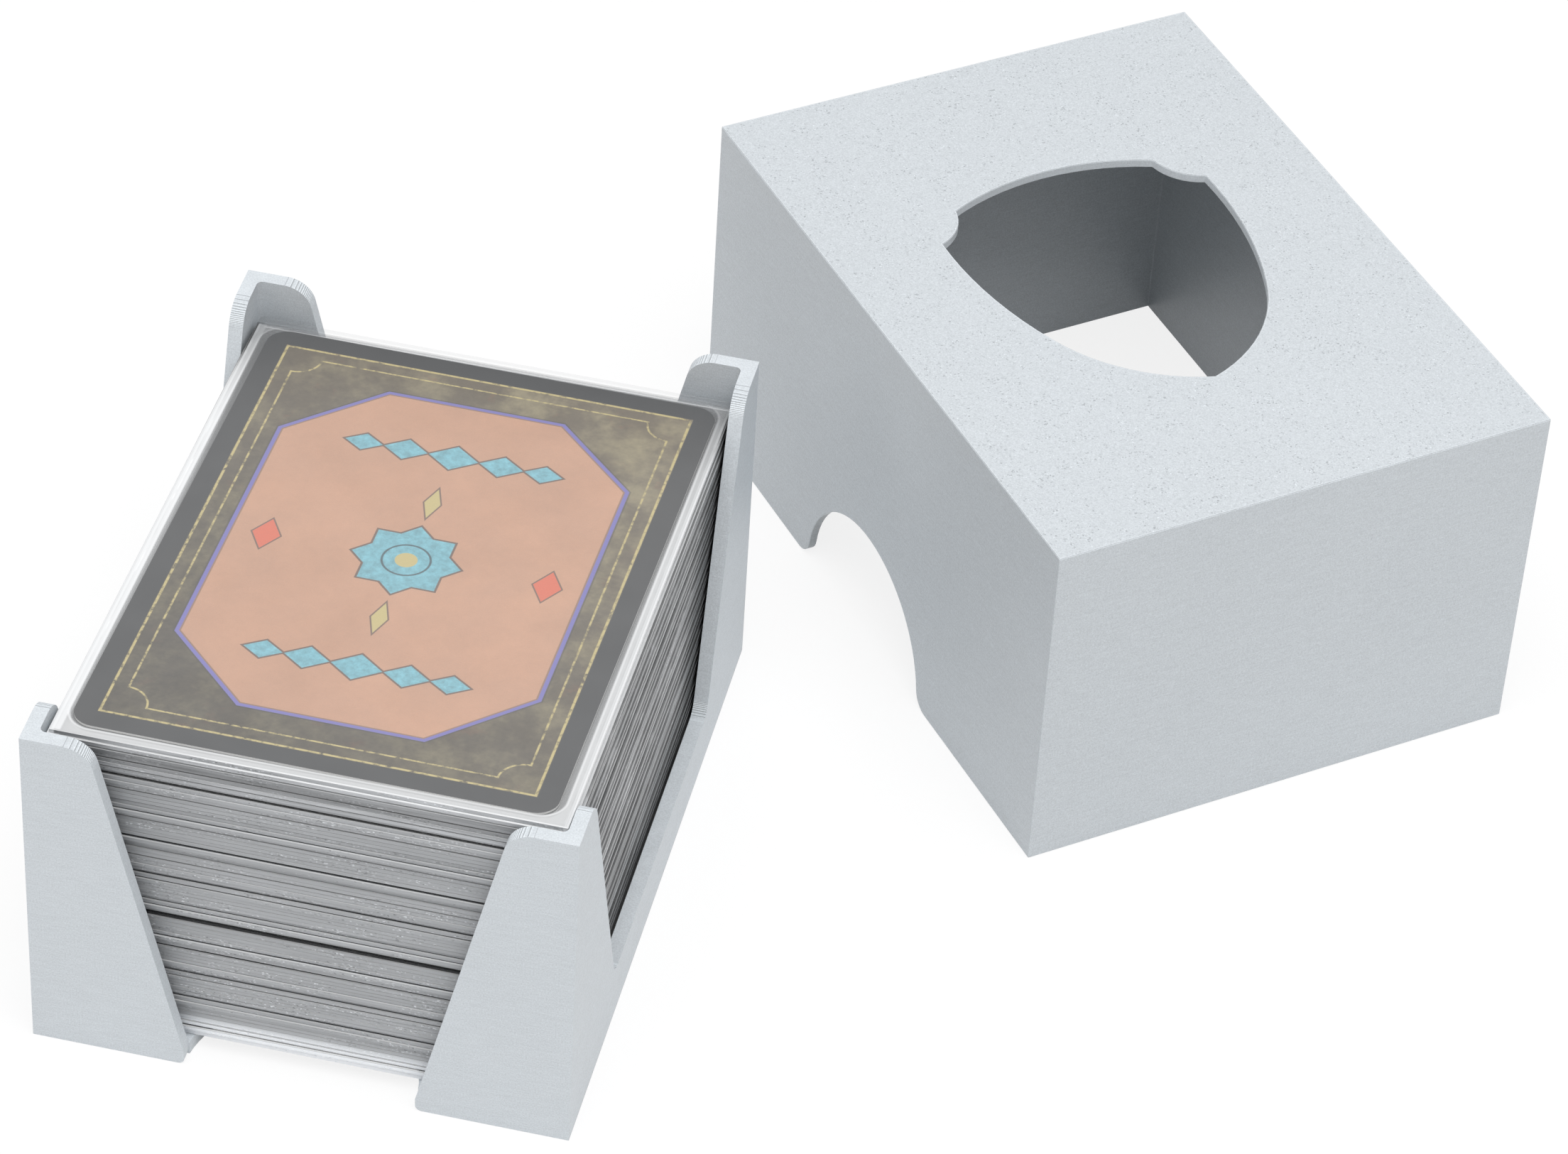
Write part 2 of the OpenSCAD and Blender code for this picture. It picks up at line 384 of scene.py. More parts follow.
def layer_steps(z, up, layer):
    """Steps of the layers where a surface slopes: painted highlights on their lips, painted
    shade at their feet, and their heights.
    """
    slope = up.rise(0.3, 0.5) * (-up).rise(-0.9995, -0.998)
    level = (z / layer).math("FRACT") - 0.5
    steep = (up * up).less().math("SQRT")
    from_step = (-abs(level) + 0.5) * layer / steep.most(0.02)
    step = (-from_step).rise(-0.2, -0.05) * slope
    lip = step * (-level).rise(0.0, 0.02)
    foot = step * level.rise(0.0, 0.02)
    tread = ((z / layer).math("CEIL") * layer - z) * up * slope
    return lip, foot, tread


def printed_plastic(name, look, plate_z, plate_up, brightness, hollow=None):
    """Printed plastic: granular where it lay on the print plate, in fine layers elsewhere.

    The plate face is the one at the height plate_z that looks the way plate_up says, 1 up
    and -1 down. A hollow piece, given by its centre, gets painted shade deeper on its inside
    and a painted highlight on the cut edge of an opening in its plate face.
    """
    material, tree = new_material(name)
    vector, _, _, z = millimetres(tree)
    up = facing(tree)
    layer = look.layer / MM
    plate_height = plate_z / MM

    grain = noise(tree, vector, look.grain / MM, detail=3.0, roughness=0.65)
    drift = noise(tree, vector, size=22.0, detail=1.0)
    band = noise(tree, layered(tree, vector, 0.07), layer, detail=1.0)
    speck = cells(tree, vector, look.speck / MM)
    cluster = noise(tree, vector, size=3.0)

    # The plate face shows the lightest and the darkest specks where they cluster
    plate = (up * plate_up).rise(0.9, 0.98) * (-abs(z - plate_height)).rise(-0.6, -0.3)
    glint = speck.rise(0.93, 0.99) * cluster.rise(0.4, 0.62)
    pit = (-speck).rise(-0.06, -0.01) * cluster.rise(0.38, 0.6)

    lip, foot, tread = layer_steps(z, up, layer)
    # Painted highlight on the layer steps' lips and painted shade at their feet
    walls = grain.swing(0.6) + band.swing(0.14) + lip * 0.2 - foot * 0.42
    if hollow is not None:
        # Painted shade on the inside further below the plate face, and a painted highlight just
        # under it, on the cut edge of the opening
        inside = (-outward(tree, hollow)).rise(0.0, 1.0)
        deep = (-z).rise(1.5 - plate_height, 2.5 - plate_height)
        walls = walls + inside * (deep * -0.5 + 0.27)
    plate_tone = grain.swing(0.5) + speck.swing(0.1) + glint * 0.2 - pit * 0.2
    tone = walls * plate.less() + plate_tone * plate + drift.swing(0.03) + brightness
    height = grain * 0.03 + (glint - pit) * plate * 0.03 + tread
    surface(
        tree, Base_Color=shaded(tree, look.plastic, tone),
        Roughness=grain.swing(0.2) + look.roughness - glint * plate * 0.12,
        Specular_IOR_Level=0.42, Normal=bump(tree, height, 1.0))
    return material


# Sleeve film, whose shades are laid out in millimetres about the top sleeve's middle

# Radius of a card's corners
CARD_CORNER = 3.0
# Distances past a card's outline over which the film beside the card sets in
PAST_CARD = (0.15, 0.5)
# Slope that the sleeves gain along the deck for each millimetre that they lie higher
SLEEVE_FAN = 0.0009
# Line along the deck above which the top sleeves carry a painted highlight: its slope, and its
# depth halfway
SHINE_SLOPE = 0.066
SHINE_DEPTH = 3.0
# How much of its light the darkest place in the deck loses
DEEPEST = 0.85


def beyond(x, y, half_x, half_y, corner):
    """Distance past a rectangle with round corners, in millimetres: below 0 inside it."""
    dx = (abs(x) - (half_x - corner)).most(0.0)
    dy = (abs(y) - (half_y - corner)).most(0.0)
    return hypot(dx, dy) - corner


def sleeve_places(tree):
    """Coordinates about the top sleeve, and flows that are 1 on one part of sleeve or deck."""
    vector, x, y, z = millimetres(tree, middle("top_sleeve"))
    card_x, card_y, _ = half_size("top_card")
    sleeve_x, sleeve_y, _ = half_size("top_sleeve")
    at = SimpleNamespace(vector=vector, x=x, y=y, z=z)
    at.above = z + middle("top_sleeve").z / MM
    # A sleeve's upright rim, and the rounding between it and the flat faces
    up = abs(facing(tree))
    at.rim = upright(tree)
    at.corner = up.rise(0.3, 0.6) * (-up).rise(-0.99, -0.95)
    # The film beside the card, a painted highlight round the card's outline, and the welded seam
    past = beyond(x, y, card_x, card_y, CARD_CORNER)
    at.beside = past.rise(*PAST_CARD)
    at.gleam = past.rise(0.15, 0.35) * (-past).rise(-0.75, -0.5)
    at.weld = (abs(x) - sleeve_x).most(y - sleeve_y).rise(-0.62, -0.52)
    # The film to the left of the card, in front of it and behind it
    at.left = (-x - card_x).rise(*PAST_CARD)
    at.near = (-y - card_y).rise(*PAST_CARD)
    at.far = (y - card_y).rise(*PAST_CARD)
    # The deck's top sleeves, its long sides and its short sides
    at.high = z.rise(-2.6, -0.6)
    at.on_side = (abs(x) - card_x).rise(0.9, 1.2)
    at.on_end = at.on_side.less()
    return at


def top_shine(at):
    """Painted highlight on the top sleeves' long sides: a wedge that widens towards the far end
    and fades before it.
    """
    over_line = at.z + at.y * SHINE_SLOPE + SHINE_DEPTH
    return over_line.rise(-0.6, 0.8) * (-at.y).rise(-40.0, -30.0) * at.on_side


def deck_shade(at):
    """Painted shade on the deck's upright faces, from 0 to 1, by their place in the deck.

    The long sides go darker towards the bottom and the ends, most of all the far end, and
    the short sides towards the left.
    """
    near = (-at.y).rise(20.0, 46.0)
    # The painted shade of the far end reaches further forward the lower it is
    rear = (at.y - at.above * 0.42).rise(4.0, 20.0)
    low = (-at.above).rise(-28.0, -2.0)
    foot = (-at.above).rise(-13.0, -9.0)
    left = (-at.x).rise(8.0, 30.0)
    long_side = (near * 0.6).most(low).most(rear) * 0.75
    long_side = (long_side + rear * 0.2 + foot * 0.2).least(1.0)
    return long_side * at.on_side + left * at.on_end * 0.3


def rim_tone(tree, at, look, streak):
    """Brightness of the rims: fine streaks and specks, painted light at the top and at the foot,
    and painted shade on the long sides.
    """
    spark = cells(tree, layered(tree, at.vector, 0.6), size=0.16)
    patch = noise(tree, layered(tree, at.vector, 0.12), size=1.3)
    glint = spark.rise(0.86, 0.99) * patch.rise(0.45, 0.62)
    pit = (-spark).rise(-0.1, -0.01) * patch.rise(0.42, 0.6)
    # Painted highlight with stronger streaks on the fanned sleeves near the top, and painted
    # light on the lowest ones, as from the table
    fan_highlight = at.z.rise(-3.6, -2.0) * at.on_end
    painted_foot_light = (-at.above).rise(-6.0, -4.6) * at.on_end * look.painted_foot_glow * 1.3
    tone = streak.swing(fan_highlight * 1.3 + 0.45) + 1.0 + glint * 0.7 - pit * 0.4
    # The long sides' rims are painted darker as shade
    return tone + fan_highlight * 0.12 + painted_foot_light - at.on_side * 0.3


def side_lines(tree, at):
    """Along the long sides the sleeves differ in brightness at random, each along its own slope;
    some lines carry a painted highlight.
    """
    sloped = shade(
        tree, "ShaderNodeCombineXYZ",
        X=at.x, Y=at.y, Z=at.z - at.y * at.above * SLEEVE_FAN)
    line = noise(
        tree, layered(tree, sloped.outputs[0], 0.03), size=0.9, detail=3.0, roughness=0.7)
    return (line.swing(1.7) + line.rise(0.54, 0.66) * 0.4 - 0.06) * at.on_side


def film_opacity(at, look, lip, cloud):
    """Hazy over the card, as opaque as lip says beside it, and nearly solid on the rims."""
    # The far lips of the top sleeves are so clear that the table shows through them
    seen = (at.far * at.z.rise(-3.4, -2.2)).less(0.9)
    over_card = cloud.swing(0.04) + look.film_haze
    alpha = over_card * at.beside.less() + lip * at.beside * seen
    return alpha.most(at.rim * seen * 0.97).most(at.corner * seen * 0.85)


def sleeve_film(name, look, bead):
    """Clear film: hazy over the card, milky beside it, grey and streaky on its edges.

    With bead it is the narrow bright seam line along the edge of a sleeve's flat faces.
    Painted shade and painted highlights lie on the deck's edges by their place in the deck.
    """
    material, tree = new_material(name)
    at = sleeve_places(tree)
    streak = noise(
        tree, layered(tree, at.vector, 0.05), size=0.9, detail=3.0, roughness=0.6)
    cloud = noise(tree, at.vector, size=9.0)
    shine = top_shine(at)
    painted_shade = deck_shade(at) * shine.less()

    if bead:
        lip = at.high * 0.2 + 0.7
        dull = (at.on_side * at.high.less()).less(0.6)
        flat = shaded(tree, look.film, dull * painted_shade.less(DEEPEST))
    else:
        lip = at.high * (look.film_lip - 0.2) + 0.2 + cloud.swing(0.1) + at.weld * 0.15
        lip = (lip + at.high * (at.left * 0.4 + at.gleam * 0.25)).least(1.0)
        # The sleeves under the top ones take the film's painted shade
        flat = paint(tree, look.film_shaded, look.film, at.high)

    rims = shaded(
        tree, look.film_rim, rim_tone(tree, at, look, streak) * painted_shade.less(DEEPEST))
    # Painted highlight of the wedge on the top sleeves
    rims = paint(tree, rims, look.film, shine * 0.85)
    base = paint(tree, flat, rims, at.rim)
    # Painted highlight on the sleeves' rounded corners, weaker where the painted shade is deep
    base = paint(tree, base, look.film, at.corner * (painted_shade * -0.8 + 0.5))
    # Painted shade under the top sleeve's lip, on the near end
    lip_shadow = at.z.rise(-1.3, -0.8) * (-at.z).rise(-1.2, -0.8) * at.near
    tone = side_lines(tree, at) * shine.less() - lip_shadow * 0.42 + 1.0
    surface(
        tree, Base_Color=shaded(tree, base, tone), Alpha=film_opacity(at, look, lip, cloud),
        Roughness=cloud.swing(0.1) + look.film_roughness + at.rim * 0.1,
        Specular_IOR_Level=painted_shade * -0.4 + 0.5,
        Normal=bump(tree, cloud * 0.3 + streak * at.rim * 0.25, 0.2))
    return material


# Cards, whose drawing is laid out in millimetres about their middle

# Turn of the top card in its sleeve, as in the part's source
TOP_CARD_TURN = math.radians(-0.4)
# Sine of 45 degrees, for the slanted sides
SLANT = 0.7071
# Half the width and length of the large panel, and how far out its corners are cut off
PANEL_HALF_X = 24.0
PANEL_HALF_Y = 34.5
PANEL_CUT = 33.0
# How far the gold frames lie inside the border, and the radius of the inner one's notches
OUTER_FRAME = 0.25
INNER_FRAME = 2.3
FRAME_NOTCH = 3.4
# Reach of the star's two squares, and the radii of the ring and the dot in its middle
STAR_REACH = 5.2
RING_RADIUS = 3.2
DOT_RADIUS = 1.5
# Half the width over which the edge of an ink fades
INK_EDGE = 0.06
# Lozenges: place across and along, then reach across and along
ROW_LOZENGES = ((0.0, 23.0, 3.4, 2.6), (6.6, 23.0, 3.0, 2.2), (12.4, 23.0, 2.6, 1.8))
SIDE_LOZENGE = (19.0, 0.0, 1.9, 3.2)
TIP_LOZENGE = (0.0, 12.6, 1.1, 3.2)


def card_stock(name, look):
    """The cards inside the deck: white core on their edges, printed on both faces."""
    material, tree = new_material(name)
    vector = millimetres(tree)[0]
    mottle = noise(tree, vector, size=5.0, detail=3.0)
    fibre = noise(tree, vector, size=0.25)
    printed = paint(tree, look.border, look.field, mottle.rise(0.4, 0.7))
    edge = upright(tree)
    base = paint(tree, printed, look.core, edge)
    surface(
        tree, Base_Color=shaded(tree, base, fibre.swing(0.3) + 1.0),
        Roughness=edge * 0.35 + 0.45, Normal=bump(tree, fibre, 0.01))
    return material


def inked(distance):
    """1 inside a shape and 0 outside, from the distance to its outline in millimetres."""
    return (-distance).rise(-INK_EDGE, INK_EDGE)


def outline(distance, width):
    """1 on a line of a width along a shape's outline."""
    return inked(abs(distance) - width / 2)


def notched_frame(across, along, inset, notch=0.0):
    """Distance to a frame inside the card's edge, its corners cut out in quarter circles."""
    half_x, half_y, _ = half_size("top_card")
    dx, dy = across - (half_x - inset), along - (half_y - inset)
    return dx.most(dy).most(-hypot(dx, dy) + notch)


def lozenge(across, along, at_x, at_y, reach_x, reach_y):
    """Distance, roughly, to a lozenge and its three mirror images."""
    slant = abs(across - at_x) / reach_x + abs(along - at_y) / reach_y
    return (slant - 1.0) * (reach_x * reach_y / math.hypot(reach_x, reach_y))


def field_colour(tree, look, vector, x, y, scuff):
    """Mottled field, a little lighter towards the right and the far end."""
    mottle = noise(tree, vector, size=7.0, detail=4.0, roughness=0.62)
    rusty = noise(tree, vector, size=5.0, detail=4.0, roughness=0.7)
    field = paint(tree, look.field, look.field_light, mottle.rise(0.38, 0.72))
    field = paint(tree, field, look.rust, rusty.rise(0.58, 0.72) * 0.3)
    return shaded(tree, field, scuff.swing(0.7) + 1.0 + x * 0.0055 + y * 0.0075)


def panel_prints(tree, look, vector, across, along, scuff):
    """Inks of the eight-sided panel and its outline, each with the places it covers."""
    wash = noise(tree, vector, size=13.0, detail=3.0, roughness=0.6)
    tan = shaded(tree, look.tan, wash.swing(0.35) + scuff.swing(0.1) + 1.0)
    panel = (across - PANEL_HALF_X).most(along - PANEL_HALF_Y)
    panel = panel.most((across + along) * SLANT - PANEL_CUT)
    return (
        (tan, inked(panel)),
        (look.border, outline(panel, width=1.0) * 0.5),
        (look.violet, outline(panel, width=0.55)),
    )


def ornament_prints(tree, look, across, along, scuff):
    """Inks of the lozenges and the star on the panel, each with the places it covers."""
    teal = shaded(tree, look.teal, scuff.swing(1.2) + 1.0)
    row, *others = [lozenge(across, along, *place) for place in ROW_LOZENGES]
    for other in others:
        row = row.least(other)
    side = lozenge(across, along, *SIDE_LOZENGE)
    tip = lozenge(across, along, *TIP_LOZENGE)
    star = across.most(along) - STAR_REACH
    star = star.least((across + along) * SLANT - STAR_REACH)
    from_middle = hypot(across, along)

    def dark_rim(shape, width, strength):
        """The border's ink on a shape and a little past it, to lie under the shape's own."""
        return look.border, inked(shape - width) * strength

    return (
        dark_rim(row, width=0.28, strength=0.75),
        (teal, inked(row)),
        dark_rim(side.least(tip), width=0.22, strength=0.7),
        (look.coral, inked(side)),
        (look.gold, inked(tip)),
        dark_rim(star, width=0.3, strength=0.75),
        (teal, inked(star)),
        (look.border, outline(from_middle - RING_RADIUS, width=0.3) * 0.8),
        (look.gold, inked(from_middle - DOT_RADIUS)),
    )


def printed_back(name, look, centre, turn):
    """A generic card back: notched gold frames, an eight-sided panel, a star and lozenges."""
    material, tree = new_material(name)
    vector, x, y, _ = millimetres(tree, centre, turn)
    across, along = abs(x), abs(y)
    margin = look.border_width / MM
    scuff = noise(tree, vector, size=1.1, detail=3.0, roughness=0.7)
    dot = noise(tree, vector, size=0.16, detail=1.0)
    inside = notched_frame(across, along, margin)
    outer = notched_frame(across, along, margin + OUTER_FRAME)
    inner = notched_frame(across, along, margin + INNER_FRAME, FRAME_NOTCH)

    # Inks in the order in which they are printed, each with the places it covers
    prints = (
        (field_colour(tree, look, vector, x, y, scuff), inked(inside)),
        (look.gold, outline(outer, width=0.35) * scuff.rise(0.3, 0.55)),
        (look.gold, outline(inner, width=0.28) * scuff.rise(0.32, 0.6)),
        *panel_prints(tree, look, vector, across, along, scuff),
        *ornament_prints(tree, look, across, along, scuff),
    )
    art = look.border
    for ink, places in prints:
        art = paint(tree, art, ink, places)
    art = shaded(tree, art, dot.swing(0.12) + 1.0)
    surface(
        tree, Base_Color=paint(tree, art, look.core, upright(tree)),
        Roughness=scuff.swing(0.12) + 0.42, Normal=bump(tree, dot, 0.006))
    return material


# Mesh work

# Place of a piece's second material: painted highlight on edges and outer lines, and the
# sleeves' seams
EDGE_MATERIAL = 1
# Distance up to which two vertices are one
SAME_VERTEX = 0.001 * MM
# Angle up to which two faces are one flat face
SAME_FACE = math.radians(0.3)
# Upright part of the normal from which a face lies flat
FLAT = 0.99
# Upward part of the normal from which a softened edge gets a painted highlight
CATCHES_LIGHT = 0.12
# Play in height within which a face lies at a level
AT_LEVEL = 0.01 * MM
# Angles past which an edge is softened, and below which it is shaded smooth
SHARP = math.radians(30)
SMOOTH = math.radians(14)
# Area from which a face is a plain wall and keeps its flat shading
WALL_AREA = 40 * MM * MM

# Bands at a sleeve's ends, in which its tilt is read
END_BAND = 0.5 * MM
# How much less wide, long and thick a slab is than its CAD sleeve; it is a little thicker
SLAB_PLAY = Vector((0.02, 0.02, -0.01)) * MM
# Difference in height below which a slab's edge runs level
LEVEL_EDGE = 0.1 * MM
# Strips into which a slab is cut each way, so that its edges can wave
SLAB_STRIPS = 8
# Width of the band along a slab's edges that waves
WAVE_BAND = 0.3 * MM
# Steps through the noise for each metre along an edge, and from sleeve to sleeve
WAVE_PER_METRE = 45
WAVE_PER_SLEEVE = 3.7
# Share by which the waves pinch an edge, and how much finer these are
PINCH = 0.05
PINCH_FINER = 2.1
# Some sleeves' edges are thinner all along: how much, from which noise on, the step
# through that noise from sleeve to sleeve, and its other two coordinates
THINNER = 0.3
THINNER_START = 0.1
THINNER_PER_SLEEVE = 7.3
THINNER_ROW = (0.4, 0.2)


def merged_copy(node):
    """A CAD node's mesh with its loose triangles joined into clean faces."""
    mesh = bmesh.new()
    mesh.from_mesh(node.data)
    bmesh.ops.remove_doubles(mesh, verts=mesh.verts, dist=SAME_VERTEX)
    bmesh.ops.dissolve_limit(
        mesh, angle_limit=SAME_FACE, verts=mesh.verts, edges=mesh.edges)
    return mesh


def ring_flat_top(mesh, height, width):
    """Marks the outer printed line round the flat top at a height, which takes the edges'
    painted highlight.
    """
    flat = [face for face in mesh.faces
            if face.normal.z > FLAT and abs(face.calc_center_median().z - height) < AT_LEVEL]
    ring = bmesh.ops.inset_region(
        mesh, faces=flat, thickness=width, use_even_offset=True, use_boundary=True)
    for face in ring["faces"]:
        face.material_index = EDGE_MATERIAL


def soften(mesh, width):
    """Bevels the sharp edges, gives those that look up a painted highlight, and smooths the
    curved strips.
    """
    edges = [edge for edge in mesh.edges
             if edge.is_manifold and edge.calc_face_angle() > SHARP]
    made = bmesh.ops.bevel(
        mesh, geom=edges, offset=width, offset_type="OFFSET", affect="EDGES",
        segments=2, profile=0.5, material=-1, clamp_overlap=True)
    for face in made["faces"]:
        # Softened edges that look up take the lighter edge material as a painted highlight
        if face.normal.z > CATCHES_LIGHT:
            face.material_index = EDGE_MATERIAL
    for edge in mesh.edges:
        edge.smooth = edge.is_manifold and edge.calc_face_angle() < SMOOTH
    for face in mesh.faces:
        face.smooth = face.calc_area() < WALL_AREA


def solids_of(mesh):
    """The vertices of each separate solid in a mesh."""
    left = set(mesh.verts)
    while left:
        solid, reached = [], [left.pop()]
        while reached:
            vert = reached.pop()
            solid.append(vert)
            near = {edge.other_vert(vert) for edge in vert.link_edges} & left
            left -= near
            reached += near
        yield solid


def lies(mesh):
    """Place and size of each flat solid that is tipped about X, from the lowest up."""
    found = []
    for solid in solids_of(mesh):
        (left, right), (front, back), (bottom, top) = [
            (min(v.co[i] for v in solid), max(v.co[i] for v in solid)) for i in range(3)]
        near = [v.co.z for v in solid if v.co.y < front + END_BAND]
        far = [v.co.z for v in solid if v.co.y > back - END_BAND]
        rise = (min(far) + max(far) - min(near) - max(near)) / 2
        run = back - front
        centre = Vector(((left + right) / 2, (front + back) / 2, (bottom + top) / 2))
        size = Vector((right - left, math.hypot(run, rise), (top - bottom) - abs(rise)))
        place = Matrix.Translation(centre) @ Matrix.Rotation(math.atan2(rise, run), 4, "X")
        found.append((place, size))
    return sorted(found, key=lambda lie: lie[0].translation.z)


def cut_strips(mesh, before, axis, length_there):
    """Cuts what was added to a mesh into strips across an axis, about its middle."""
    way = Vector((0.0, 0.0, 0.0))
    way[axis] = 1.0
    for strip in range(1, SLAB_STRIPS):
        faces = [face for face in mesh.faces if face not in before]
        parts = {item for face in faces for item in (*face.edges, *face.verts)}
        bmesh.ops.bisect_plane(
            mesh, geom=[*faces, *parts],
            plane_co=way * (length_there * (strip / SLAB_STRIPS - 0.5)), plane_no=way)


def wave_edges(verts, size, look, count):
    """Lets the edges of a slab wave up and down and in thickness, each sleeve's otherwise."""
    which = waves.noise(Vector((count * THINNER_PER_SLEEVE, *THINNER_ROW)))
    thin = 1.0 - THINNER * max(0.0, which - THINNER_START) ** 2
    for vert in verts:
        past_edge = max(abs(vert.co.x) - size.x / 2, abs(vert.co.y) - size.y / 2)
        if past_edge > -WAVE_BAND:
            spot = Vector((
                vert.co.x * WAVE_PER_METRE, vert.co.y * WAVE_PER_METRE,
                count * WAVE_PER_SLEEVE))
            vert.co.z *= thin - PINCH * abs(waves.noise(spot * PINCH_FINER))
            vert.co.z += look.film_wave * waves.noise(spot)


def add_sleeve(mesh, place, size, look, count):
    """Adds a sleeve as a thin closed slab with rounded edges that wave a little."""
    size = size - SLAB_PLAY
    before = set(mesh.faces)
    made = bmesh.ops.create_cube(mesh, size=1.0, matrix=Matrix.Diagonal((*size, 1.0)))
    rims = {edge for vert in made["verts"] for edge in vert.link_edges
            if abs(edge.verts[0].co.z - edge.verts[1].co.z) < LEVEL_EDGE}
    bmesh.ops.bevel(
        mesh, geom=list(rims), offset=look.film_round, offset_type="OFFSET",
        affect="EDGES", segments=2, profile=0.5, material=-1)
    broad = [face for face in mesh.faces
             if face not in before and abs(face.normal.z) > FLAT]
    beads = bmesh.ops.inset_region(
        mesh, faces=broad, thickness=look.film_bead, use_even_offset=True, use_boundary=True)
    for face in beads["faces"]:
        face.material_index = EDGE_MATERIAL
    for axis in (0, 1):
        cut_strips(mesh, before, axis, size[axis])
    own = {vert for face in mesh.faces if face not in before for vert in face.verts}
    wave_edges(own, size, look, count)
    bmesh.ops.transform(mesh, matrix=place, verts=list(own))


def add_piece(name, mesh, materials, body):
    """Links a finished mesh as an object that rides on a body."""
    data = bpy.data.meshes.new(name)
    mesh.to_mesh(data)
    mesh.free()
    for material in materials:
        data.materials.append(material)
    piece = bpy.data.objects.new(name, data)
    bpy.context.scene.collection.objects.link(piece)
    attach(piece, body)
    return piece


def dress(node, material):
    """Gives a CAD node its material."""
    node.data.materials.clear()
    node.data.materials.append(material)


# Operators that build the pieces

class CARDBOX_OT_tray(bpy.types.Operator):
    """Builds the printed tray with softened edges and its layered plastic"""

    bl_idname = "cardbox.tray"
    bl_label = "Printed tray"

    def execute(self, context):
        look = context.scene.cardbox_print
        mesh = merged_copy(TRAY)
        soften(mesh, look.bevel)
        # Painted light: the tray's plastic a little lighter than the cover's, and a lighter copy
        # of it as the edges' painted highlight
        plastic = printed_plastic(
            "tray_plastic", look, plate_z=0.0, plate_up=-1.0, brightness=1.035)
        edge = printed_plastic(
            "tray_edge_highlight", look, plate_z=NO_PLATE, plate_up=-1.0, brightness=look.edge_highlight)
        piece = add_piece("tray_print", mesh, [plastic, edge], "tray")
        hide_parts("tray")
        return {"FINISHED"}


class CARDBOX_OT_cover(bpy.types.Operator):
    """Builds the printed cover with its granular top and softened edges"""

    bl_idname = "cardbox.cover"
    bl_label = "Printed cover"

    def execute(self, context):
        look = context.scene.cardbox_print
        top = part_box("cover")[1].z
        mesh = merged_copy(COVER)
        ring_flat_top(mesh, top, look.edge)
        soften(mesh, look.bevel)
        # Painted shade: the cover's plastic a little darker than the tray's, and a lighter copy
        # of it as the edges' painted highlight
        plastic = printed_plastic(
            "cover_plastic", look, plate_z=top, plate_up=1.0, brightness=0.96,
            hollow=middle("cover"))
        edge = printed_plastic(
            "cover_edge_highlight", look, plate_z=NO_PLATE, plate_up=1.0, brightness=look.edge_highlight)
        piece = add_piece("cover_print", mesh, [plastic, edge], "cover")
        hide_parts("cover")
        return {"FINISHED"}


class CARDBOX_OT_sleeves(bpy.types.Operator):
    """Builds every sleeve where its CAD solid lies, with soft uneven edges of clear film"""

    bl_idname = "cardbox.sleeves"
    bl_label = "Sleeves"

    def execute(self, context):
        look = context.scene.cardbox_deck
        film = [sleeve_film("clear_film", look, bead=False),
                sleeve_film("film_bead", look, bead=True)]
        bodies = frame["record"]["behaviour"]["bodies"]
        body_of = {node: body for body, nodes in bodies.items() for node in nodes}
        count = 0
        for name in SLEEVES:
            solids = merged_copy(frame["nodes"][name])
            mesh = bmesh.new()
            for place, size in lies(solids):
                add_sleeve(mesh, place, size, look, count)
                count += 1
            solids.free()
            piece = add_piece(name + "_film", mesh, film, body_of[name])
            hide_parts(name)
        return {"FINISHED"}


class CARDBOX_OT_cards(bpy.types.Operator):
    """Gives the cards of both packs their printed faces and white cut edges"""

    bl_idname = "cardbox.cards"
    bl_label = "Cards in the packs"

    def execute(self, context):
        look = context.scene.cardbox_deck
        stock = card_stock("card_stock", look)
        for name in CARDS:
            if name in PACK_TOPS:
                art = printed_back(name + "_back", look, middle(name), turn=0.0)
                dress(frame["nodes"][name], art)
            else:
                dress(frame["nodes"][name], stock)
        return {"FINISHED"}


class CARDBOX_OT_top_card(bpy.types.Operator):
    """Gives the top card its generic printed back"""

    bl_idname = "cardbox.top_card"
    bl_label = "Top card"

    def execute(self, context):
        look = context.scene.cardbox_deck
        art = printed_back("top_card_back", look, middle("top_card"), TOP_CARD_TURN)
        dress(TOP_CARD, art)
        return {"FINISHED"}


# Studio, in metres

WHITE = (1.0, 1.0, 1.0)
PAPER = (0.84, 0.84, 0.84)
# Half the side of the square floor, and how far it lies under the part
FLOOR_HALF = 4.0
FLOOR_DROP = 0.05 * MM
# Strength of the floor's white, and its share in what the camera sees; the rest is paper
FLOOR_WHITE = 1.04
FLOOR_SHARE = 0.8
# Places and sizes of the lamps, and the point at which both are aimed
KEY_PLACE = (0.20, -0.28, 1.36)
KEY_SIZE = 1.1
FILL_PLACE = (-1.0, -0.7, 0.8)
FILL_SIZE = 0.9
LAMP_AIM = Vector((0.03, 0.05, 0.02))
# Width of the camera's sensor, in millimetres, and the nearest distance that it shows
SENSOR_WIDTH = 36.0
CLIP_START = 0.02


